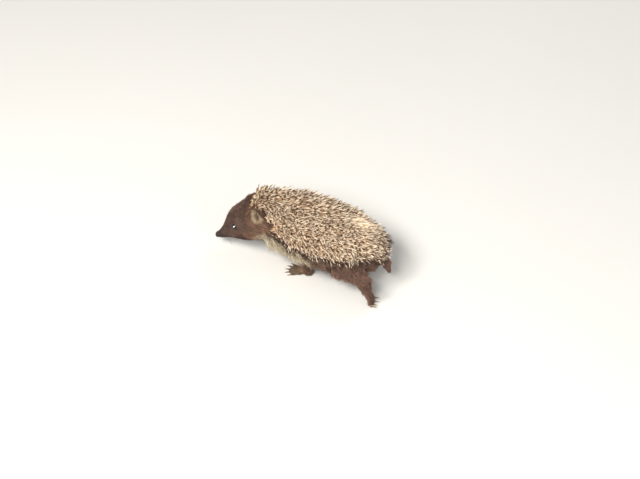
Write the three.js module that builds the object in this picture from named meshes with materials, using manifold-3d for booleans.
// A white-breasted hedgehog in the middle of a step, life size, in millimetres.
// +Z is up, the head points towards -X and the animal's left side faces -Y.
// Every surface is the outline of the living animal out to the tips of its spines and fur.
import * as THREE from 'three';
import { mergeVertices } from 'three/addons/utils/BufferGeometryUtils.js';
import Module from 'manifold-3d';

const wasm = await Module();
wasm.setup();

// ---------------------------------------------------------------- driving dimensions
const GAP = 0.3;                  // clearance between two pieces that touch
const FAR = 400;                  // longer than the animal: the size of a cutting block

// Head: held low and turned a little to the left.
const NOSE_TIP = new THREE.Vector3(-112.4, -18, 13.4);
const HEAD_PITCH = 39;            // degrees, snout down
const HEAD_YAW = 13;              // degrees, snout to the left
const HEAD_CUT = 67.5;            // distance behind the nose tip where the neck begins
const HEAD_CUT_TILT = 20;         // degrees that the cut leans forwards at its top
const NOSE_PAD = { back: 1.2, up: 0.9, length: 3.6, width: 4.1, height: 3.5 };
const NOSTRIL = { ahead: 1.6, up: 0.6, side: 1.9, radius: 0.9, depth: 1.45 };
const EYE = { back: 39.9, side: 17.8, up: 9.5, radius: 3.1 };
const EAR = { back: 69, side: 20.5, up: 6, width: 16, height: 17, depth: 4.5, thickness: 1.2 };
const EAR_LEAN = { out: 4, rear: 44, open: 60 };  // degrees from the head's own upright

// Head sections, from the nose back: [distance, half width, height above axis, depth below]
const HEAD_SECTIONS = [
  [0, 2.6, 2.4, 2.6],
  [3, 4.6, 4.3, 4.8],
  [9, 6.2, 5.9, 6.9],
  [15.5, 8.6, 9.4, 9.8],
  [22, 12.8, 13.8, 13.6],
  [29.3, 17.4, 19.0, 17.6],
  [37.5, 20.8, 21.8, 21.4],
  [48.5, 24.0, 23.2, 25.4],
  [61.5, 26.4, 23.4, 28.4],
  [77.5, 27.2, 23.0, 29.5],
];

// Crown: the front of the spiny coat, which stands up over the forehead.
const CROWN = { back: 71.8, up: 8.6, length: 26, width: 20, height: 20 };

// Trunk sections, from front to rear: [x, half width of the spiny coat, height of its top,
// height of its rim, half width of the furry underside, height of the belly]
const TRUNK_SECTIONS = [
  [-66, 28.0, 82.0, 57.0, 25.0, 30.0],
  [-44, 35.5, 86.0, 51.0, 31.0, 18.5],
  [-20, 42.0, 88.0, 47.0, 36.5, 14.5],
  [4, 45.0, 87.5, 44.5, 38.5, 13.5],
  [30, 44.0, 83.5, 44.0, 38.5, 14.5],
  [56, 40.5, 78.0, 46.0, 37.0, 18.0],
  [100, 36.0, 72.0, 55.0, 35.0, 24.0],
];
const COAT_ENDS = { front: -76, frontRound: 18, rearRound: 60, rear: 91.5 };
const BELLY_ENDS = { front: -72, frontRound: 30, rearRound: 44, rear: 97 };
const RIM_DEPTH = 6;              // thickness of the spiny coat below its rim line
const FLANK = { drop: 6, rise: 16 };  // widest line of the underside below the rim; its reach above that
const NECK_BEND = { from: -24, until: -76, side: -9 };  // the neck curves to the left, after the head
const CUTS = [-38, 8, 54];        // planes that part neck, shoulders, loin and rump

// Feet: where the tip of the middle toe touches the floor, which way the toes are turned
// (degrees, to the left), how far the heel has swung up and over them (degrees), how far the
// claws are set below the line of the toes (degrees), how much of the underside is pressed
// flat on the floor, and the radius of a shaggy ankle. The left hind foot is just leaving
// the floor.
const FEET = {
  forefoot_left: { kind: 'fore', stands: [-18, -24], turn: 12, lift: 0, clawSet: -8, flat: 0.3 },
  forefoot_right: { kind: 'fore', stands: [-72, 18], turn: -4, lift: 0, clawSet: -8, flat: 0.3 },
  hind_foot_left: {
    kind: 'hind', stands: [88.5, -36], turn: 4, lift: 107, clawSet: 63, flat: 0.7, ankle: 7.6,
  },
  hind_foot_right: { kind: 'hind', stands: [27, 32], turn: -8, lift: 0, clawSet: -8, flat: 0.3 },
};
const FOOT_KINDS = {
  fore: { sole: 9, width: 6.4, height: 4.0, toe: 7, claw: 5.5 },
  hind: { sole: 21, width: 5.8, height: 4.2, toe: 8, claw: 5.5 },
};
const TOE_ROW = { ahead: 0.3, apart: 0.36, reach: 0.5 };  // places of the toe roots, in foot widths
const TOES = ['inner', 'second', 'middle', 'fourth', 'outer'];
const TOE_RADIUS = 1.75;
const TOE_SPREAD = 12;            // degrees between neighbouring toes
const TOE_REACH = [0.6, 0.92, 1, 0.94, 0.72];  // length of each toe beside the middle one
const CLAW_RADIUS = 0.95;
const CLAW_BEND = 40;             // degrees between the root and the tip of a claw

// Legs: hip or shoulder and knee or elbow of each, and the radius of the furry limb at
// those two joints and at the heel or wrist.
const LEGS = {
  foreleg_left: { foot: 'forefoot_left', joints: [[-36, -16, 44], [-6, -22, 29]], radii: [12, 9.5, 5.6] },
  foreleg_right: { foot: 'forefoot_right', joints: [[-46, 15, 48], [-33, 21, 30]], radii: [12, 9.5, 5.2] },
  hind_leg_left: { foot: 'hind_foot_left', joints: [[66, -18, 42], [50, -29, 35]], radii: [15, 13.5, 8] },
  hind_leg_right: { foot: 'hind_foot_right', joints: [[62, 18, 42], [42, 29, 33]], radii: [15, 13, 7.4] },
};

const TAIL = { root: [87, 0, 37], tip: [92.5, 0, 23], rootRadius: 6.6, tipRadius: 3 };

// ---------------------------------------------------------------- materials
const paint = (color, roughness) => new THREE.MeshStandardMaterial({ color, roughness, metalness: 0 });
const SPINES = paint(0xb09a7a, 0.7);
const FACE_FUR = paint(0x624e43, 0.9);
const LEG_FUR = paint(0x78615a, 0.85);
const EAR_SKIN = paint(0x938168, 0.75);
const HORN = paint(0x5a4a3f, 0.45);
const NOSE_SKIN = paint(0x1d1a1a, 0.35);
const EYE_BLACK = paint(0x0b0a0a, 0.08);

// ---------------------------------------------------------------- solids
const radians = THREE.MathUtils.degToRad;

function solid(geometry) {
  geometry.deleteAttribute('normal');
  geometry.deleteAttribute('uv');
  const merged = mergeVertices(geometry, 1e-4);
  const triVerts = Uint32Array.from(merged.index.array);
  return new wasm.Manifold(new wasm.Mesh({
    numProp: 3,
    vertProperties: Float32Array.from(merged.attributes.position.array),
    triVerts,
  }));
}

// The largest body of a cut piece, without the chips that a cut may leave.
const largest = (body) => body.decompose().sort((a, b) => b.volume() - a.volume())[0];

function piece(name, body, material) {
  const mesh = largest(body).getMesh();
  const geometry = new THREE.BufferGeometry();
  geometry.setAttribute('position', new THREE.BufferAttribute(mesh.vertProperties, 3));
  geometry.setIndex(new THREE.BufferAttribute(mesh.triVerts, 1));
  const named = new THREE.Mesh(geometry, material);
  named.name = name;
  return named;
}

// A closed skin over rings of points, all with the same number of points, each ring running
// clockwise when it is seen from the first ring towards the last.
function loft(rings) {
  const n = rings[0].length;
  const points = rings.flat();
  const index = [];
  for (let r = 0; r + 1 < rings.length; r += 1) {
    for (let i = 0; i < n; i += 1) {
      const a = r * n + i;
      const b = r * n + (i + 1) % n;
      index.push(a, b + n, b, a, a + n, b + n);
    }
  }
  const middle = (ring) => ring.reduce((sum, p) => sum.add(p), new THREE.Vector3()).divideScalar(n);
  const first = points.push(middle(rings[0])) - 1;
  const last = points.push(middle(rings.at(-1))) - 1;
  const end = (rings.length - 1) * n;
  for (let i = 0; i < n; i += 1) {
    index.push(first, i, (i + 1) % n);
    index.push(last, end + (i + 1) % n, end + i);
  }
  const geometry = new THREE.BufferGeometry().setFromPoints(points);
  geometry.setIndex(index);
  return solid(geometry);
}

// Smooth values between the rows of a table whose first column is the place.
function table(rows) {
  const places = rows.map((row) => row[0]);
  const values = rows.flatMap((row) => row.slice(1));
  const curve = new THREE.CubicInterpolant(places, values, rows[0].length - 1);
  return (place) => Array.from(curve.evaluate(place));
}

const spread = (n, from, to) => Array.from({ length: n + 1 }, (_, i) => from + (to - from) * i / n);

// An oval ring whose upper and lower halves have heights of their own.
function oval(n, place, halfWidth, up, down, fullness = 1) {
  return Array.from({ length: n }, (_, i) => {
    const angle = 2 * Math.PI * i / n;
    const side = Math.sign(Math.sin(angle)) * Math.abs(Math.sin(angle)) ** fullness;
    const rise = Math.cos(angle) * (Math.cos(angle) > 0 ? up : down);
    return new THREE.Vector3(place.x, place.y + halfWidth * side, place.z + rise);
  });
}

// How far the middle of the trunk lies to the side at x.
function bendAt(x) {
  const { from, until, side } = NECK_BEND;
  return side * Math.max(0, (from - x) / (from - until)) ** 2;
}

// How much of its full section a rounded body has at x.
function rounding(x, { front, frontRound, rearRound, rear }) {
  const ahead = Math.max(0, (front + frontRound - x) / frontRound);
  const behind = Math.max(0, (x - (rear - rearRound)) / rearRound);
  return Math.sqrt(Math.max(0, 1 - ahead ** 2) * Math.max(0, 1 - behind ** 2));
}

// Places along a rounded body, closer together at its two ends.
function places(n, { front, rear }) {
  return spread(n, 0.06, Math.PI - 0.06).map((a) => front + (rear - front) * (1 - Math.cos(a)) / 2);
}

// A straight link with round ends, thicker at one end than at the other.
function link(from, to, fromRadius, toRadius, sides = 12, arc = 4) {
  const start = new THREE.Vector3(...from);
  const along = new THREE.Vector3(...to).sub(start);
  const length = along.length();
  const slope = Math.asin((fromRadius - toRadius) / length);
  const profile = [];
  for (const a of spread(arc, -Math.PI / 2, slope)) {
    profile.push(new THREE.Vector2(fromRadius * Math.cos(a), fromRadius * Math.sin(a)));
  }
  for (const a of spread(arc, slope, Math.PI / 2)) {
    profile.push(new THREE.Vector2(toRadius * Math.cos(a), length + toRadius * Math.sin(a)));
  }
  profile[0].x = 0;
  profile.at(-1).x = 0;
  const geometry = new THREE.LatheGeometry(profile, sides);
  const turn = new THREE.Quaternion().setFromUnitVectors(new THREE.Vector3(0, 1, 0), along.normalize());
  geometry.applyQuaternion(turn);
  geometry.translate(start.x, start.y, start.z);
  return solid(geometry);
}

function ball(radius, at, sides = 12) {
  const geometry = new THREE.SphereGeometry(radius, sides, Math.round(sides * 0.7));
  geometry.translate(...at);
  return solid(geometry);
}

function ellipsoid(halves, at, sides = 16) {
  const geometry = new THREE.SphereGeometry(1, sides, Math.round(sides * 0.7));
  geometry.rotateZ(Math.PI / 2);
  geometry.scale(...halves);
  geometry.translate(...at);
  return solid(geometry);
}

const joined = (bodies) => bodies.reduce((sum, body) => sum.add(body));

function placed(body, matrix) {
  return body.transform(matrix.elements);
}

// The half space beyond a plane, as a big block on the side that the direction points to.
function block(point, direction) {
  const geometry = new THREE.BoxGeometry(FAR, FAR, FAR);
  geometry.translate(FAR / 2, 0, 0);
  const turn = new THREE.Quaternion().setFromUnitVectors(new THREE.Vector3(1, 0, 0), direction);
  geometry.applyQuaternion(turn);
  geometry.translate(point.x, point.y, point.z);
  return solid(geometry);
}

// Parts a body at a plane: [what lies ahead of the direction, what lies behind it].
function parted(body, point, direction) {
  const half = direction.clone().multiplyScalar(GAP / 2);
  const ahead = body.intersect(block(point.clone().add(half), direction));
  const behind = body.intersect(block(point.clone().sub(half), direction.clone().negate()));
  return [ahead, behind];
}

// ---------------------------------------------------------------- head
const headTurn = new THREE.Euler(0, -radians(HEAD_PITCH), radians(HEAD_YAW), 'ZYX');
const headMatrix = new THREE.Matrix4().makeRotationFromEuler(headTurn).setPosition(NOSE_TIP);

function headLoft() {
  const section = table(HEAD_SECTIONS);
  const reach = HEAD_SECTIONS.at(-1)[0];
  const rings = spread(11, 0, 1).map((t) => {
    const back = reach * t ** 1.35;
    const [halfWidth, up, down] = section(back);
    return oval(18, new THREE.Vector3(back, 0, 0), halfWidth, up, down);
  });
  return loft(rings);
}

function crown() {
  return ellipsoid([CROWN.length, CROWN.width, CROWN.height], [CROWN.back, 0, CROWN.up], 12);
}

const eyeAt = (side, grow = 0) => ball(EYE.radius + grow, [EYE.back, side * EYE.side, EYE.up], 10);

function nosePad(grow = 0) {
  const halves = [NOSE_PAD.length + grow, NOSE_PAD.width + grow, NOSE_PAD.height + grow];
  return ellipsoid(halves, [NOSE_PAD.back, 0, NOSE_PAD.up], 9);
}

function nose() {
  const nostril = (side) => ellipsoid(
    [NOSTRIL.depth, NOSTRIL.radius, NOSTRIL.radius],
    [-NOSTRIL.ahead, side * NOSTRIL.side, NOSTRIL.up],
    5,
  );
  return nosePad().subtract(nostril(-1)).subtract(nostril(1));
}

// The outer ear: an oval dish with a rounded rim, its hollow facing -X and its foot at the origin.
function ear(grow = 0) {
  const around = 11;
  const rows = 3;
  const dish = (radius, front) => Array.from({ length: around }, (_, i) => {
    const angle = 2 * Math.PI * i / around;
    const narrow = 1 - 0.16 * Math.sin(angle);
    const side = radius * (EAR.width / 2 + grow) * Math.cos(angle) * narrow;
    const rise = EAR.height / 2 + radius * (EAR.height / 2 + grow) * Math.sin(angle);
    const hollow = EAR.depth * (1 - radius ** 2) + (front ? -EAR.thickness - grow : grow);
    return new THREE.Vector3(hollow, side, rise);
  });
  const back = spread(rows, 0.15, 1).map((radius) => dish(radius, false));
  const front = spread(rows, 1, 0.15).map((radius) => dish(radius, true));
  return loft([...back, ...front]);
}

const earPlace = (side) => new THREE.Vector3(EAR.back, side * EAR.side, EAR.up);

function earTurn(side) {
  const { out, rear, open } = EAR_LEAN;
  return new THREE.Euler(-side * radians(out), radians(rear), -side * radians(open), 'YXZ');
}

// The slot that an ear stands in.
function earSocket(side) {
  const place = new THREE.Matrix4().makeRotationFromEuler(earTurn(side)).setPosition(earPlace(side));
  return placed(ear(GAP), place);
}

// ---------------------------------------------------------------- trunk
const trunkAt = table(TRUNK_SECTIONS);

function spinyCoat(grow = 0) {
  return loft(places(15, COAT_ENDS).map((x) => {
    const [halfWidth, top, rim] = trunkAt(x);
    const share = rounding(x, COAT_ENDS);
    const centre = new THREE.Vector3(x, bendAt(x), rim);
    const [side, up, down] = [halfWidth, top - rim, RIM_DEPTH].map((size) => size * share + grow);
    return oval(20, centre, side, up, down, 0.9);
  }));
}

function underside() {
  return loft(places(12, BELLY_ENDS).map((x) => {
    const [, , rim, halfWidth, belly] = trunkAt(x);
    const share = rounding(x, BELLY_ENDS);
    const widest = rim - FLANK.drop;
    const centre = new THREE.Vector3(x, bendAt(x), widest);
    return oval(14, centre, halfWidth * share, FLANK.rise * share, (widest - belly) * share, 0.85);
  }));
}

// ---------------------------------------------------------------- legs and feet
// A foot's own frame: the heel or wrist above the origin, the toes towards -X, all flat on z = 0.
const toeRoot = ({ sole, width }) => sole + width * TOE_ROW.ahead;
const middleReach = ({ width, toe }) => width * TOE_ROW.reach + toe;

function footMatrix({ kind, stands, turn, lift, flat }) {
  const size = FOOT_KINDS[kind];
  const tip = new THREE.Matrix4().makeTranslation(toeRoot(size) + middleReach(size), 0, -TOE_RADIUS);
  const swing = new THREE.Euler(0, -radians(lift), radians(turn), 'ZYX');
  return new THREE.Matrix4()
    .makeRotationFromEuler(swing)
    .setPosition(stands[0], stands[1], TOE_RADIUS - flat)
    .multiply(tip);
}

const heelOf = ({ kind }) => new THREE.Vector3(0, 0, FOOT_KINDS[kind].height);

// Where each toe starts and ends, in the foot's frame.
function toeLines(kind) {
  const size = FOOT_KINDS[kind];
  return TOES.map((name, i) => {
    const rank = i - 2;
    const angle = radians(TOE_SPREAD * rank);
    const root = [-toeRoot(size), rank * size.width * TOE_ROW.apart, TOE_RADIUS + 0.5];
    const reach = middleReach(size) * TOE_REACH[i];
    const tip = [root[0] - reach * Math.cos(angle), root[1] + reach * Math.sin(angle), TOE_RADIUS];
    return { name, root, tip, angle };
  });
}

function footBody({ kind, ankle }) {
  const { sole, width, height } = FOOT_KINDS[kind];
  const heel = link([0, 0, height], [-sole, 0, height * 0.8], ankle ?? height * 1.1, height * 0.85, 8, 2);
  const pad = ellipsoid([width * 0.9, width, height * 0.85], [-sole, 0, height * 0.7], 8);
  const toes = toeLines(kind).map(({ root, tip }) => link(root, tip, TOE_RADIUS * 1.1, TOE_RADIUS, 5, 1));
  return joined([heel, pad, ...toes]);
}

// A horny claw just beyond the tip of its toe, curved along an arc.
function claw({ kind, clawSet }, { tip, angle }) {
  const bend = radians(CLAW_BEND);
  const arc = FOOT_KINDS[kind].claw / bend;
  const rings = spread(3, 1, 0).map((t) => {
    const radius = CLAW_RADIUS * (1 - 0.65 * t);
    const along = new THREE.Matrix4()
      .makeRotationY(-bend * t)
      .setPosition(-arc * Math.sin(bend * t), 0, -arc * (1 - Math.cos(bend * t)));
    return oval(5, new THREE.Vector3(), radius * 0.8, radius, radius).map((p) => p.applyMatrix4(along));
  });
  const set = new THREE.Euler(0, -radians(clawSet), -angle, 'ZYX');
  const root = new THREE.Matrix4().makeTranslation(-TOE_RADIUS * 0.8 - GAP, 0, 0);
  const heading = new THREE.Matrix4().makeRotationFromEuler(set).setPosition(...tip).multiply(root);
  return placed(loft(rings), heading);
}

const heelPlace = (foot) => heelOf(foot).applyMatrix4(footMatrix(foot));

// The upper and the lower half of a leg.
function limb({ joints, radii, foot }, grow = 0) {
  const [thigh, knee, ankle] = radii.map((radius) => radius + grow);
  const upper = link(joints[0], joints[1], thigh, knee, 9, 2);
  const lower = link(joints[1], heelPlace(FEET[foot]), knee, ankle, 9, 2);
  return [upper, lower];
}

// ---------------------------------------------------------------- the whole animal
// The flesh is modelled whole and then parted by thin cuts.
const FLOOR = block(new THREE.Vector3(0, 0, 0), new THREE.Vector3(0, 0, 1));
const hedgehog = new THREE.Group();

const underCoat = spinyCoat(GAP);
for (const [legName, leg] of Object.entries(LEGS)) {
  const foot = FEET[leg.foot];
  const matrix = footMatrix(foot);
  const heel = heelPlace(foot);
  const shin = heel.clone().sub(new THREE.Vector3(...leg.joints[1])).normalize();
  const sole = new THREE.Vector3(-1, 0, 0).transformDirection(matrix);
  const mitre = shin.add(sole).normalize();
  const [upper, lower] = limb(leg);
  const [footPart, shinPart] = parted(lower.add(placed(footBody(foot), matrix)), heel, mitre);
  const legPart = upper.add(shinPart).intersect(FLOOR).subtract(underCoat);
  hedgehog.add(piece(legName, legPart, LEG_FUR));
  hedgehog.add(piece(leg.foot, footPart.intersect(FLOOR), LEG_FUR));
  for (const line of toeLines(foot.kind)) {
    const nail = placed(claw(foot, line), matrix).intersect(FLOOR);
    hedgehog.add(piece(`claw_${leg.foot}_${line.name}`, nail, HORN));
  }
}

const limbs = joined(Object.values(LEGS).flatMap((leg) => limb(leg, GAP)));
const tail = (grow) => link(TAIL.root, TAIL.tip, TAIL.rootRadius + grow, TAIL.tipRadius + grow, 8, 2);
const eyeHoles = joined([eyeAt(-1, GAP), eyeAt(1, GAP)]);
const earHoles = placed(joined([earSocket(-1), earSocket(1)]), headMatrix);
const skull = headLoft().add(crown()).subtract(eyeHoles).subtract(nosePad(GAP));
const furryPart = underside().add(placed(skull, headMatrix)).subtract(limbs);
const body = furryPart.add(spinyCoat()).subtract(earHoles).subtract(tail(GAP));

const backOfHead = new THREE.Vector3(HEAD_CUT, 0, 0).applyMatrix4(headMatrix);
const tilt = new THREE.Euler(0, -radians(HEAD_CUT_TILT), radians(HEAD_YAW), 'ZYX');
const backward = new THREE.Vector3(1, 0, 0).applyEuler(tilt);
const [behindHead, headPart] = parted(body, backOfHead, backward);
const [neckCut, shoulderCut, loinCut] = CUTS.map((x) => new THREE.Vector3(x, 0, 0));
const toRear = new THREE.Vector3(1, 0, 0);
const [behindNeck, neck] = parted(behindHead, neckCut, toRear);
const [behindShoulders, shoulders] = parted(behindNeck, shoulderCut, toRear);
const [rump, loin] = parted(behindShoulders, loinCut, toRear);

hedgehog.add(
  piece('head', headPart, FACE_FUR),
  piece('neck', neck, SPINES),
  piece('shoulders', shoulders, SPINES),
  piece('loin', loin, SPINES),
  piece('rump', rump, SPINES),
  piece('tail', tail(0), LEG_FUR),
);

const face = new THREE.Group();
face.applyMatrix4(headMatrix);
for (const [side, sign] of [['left', -1], ['right', 1]]) {
  const eye = new THREE.Mesh(new THREE.SphereGeometry(EYE.radius, 9, 6), EYE_BLACK);
  eye.name = `eye_${side}`;
  eye.position.set(EYE.back, sign * EYE.side, EYE.up);
  const outer = piece(`ear_${side}`, ear(), EAR_SKIN);
  outer.position.copy(earPlace(sign));
  outer.rotation.copy(earTurn(sign));
  face.add(eye, outer);
}
face.add(piece('nose', nose(), NOSE_SKIN));
hedgehog.add(face);

// The animal's own origin: on the floor, under the middle of its length and width.
const bounds = new THREE.Box3().setFromObject(hedgehog, true);
const middle = bounds.getCenter(new THREE.Vector3());
hedgehog.position.set(-middle.x, -middle.y, 0);
export default hedgehog;
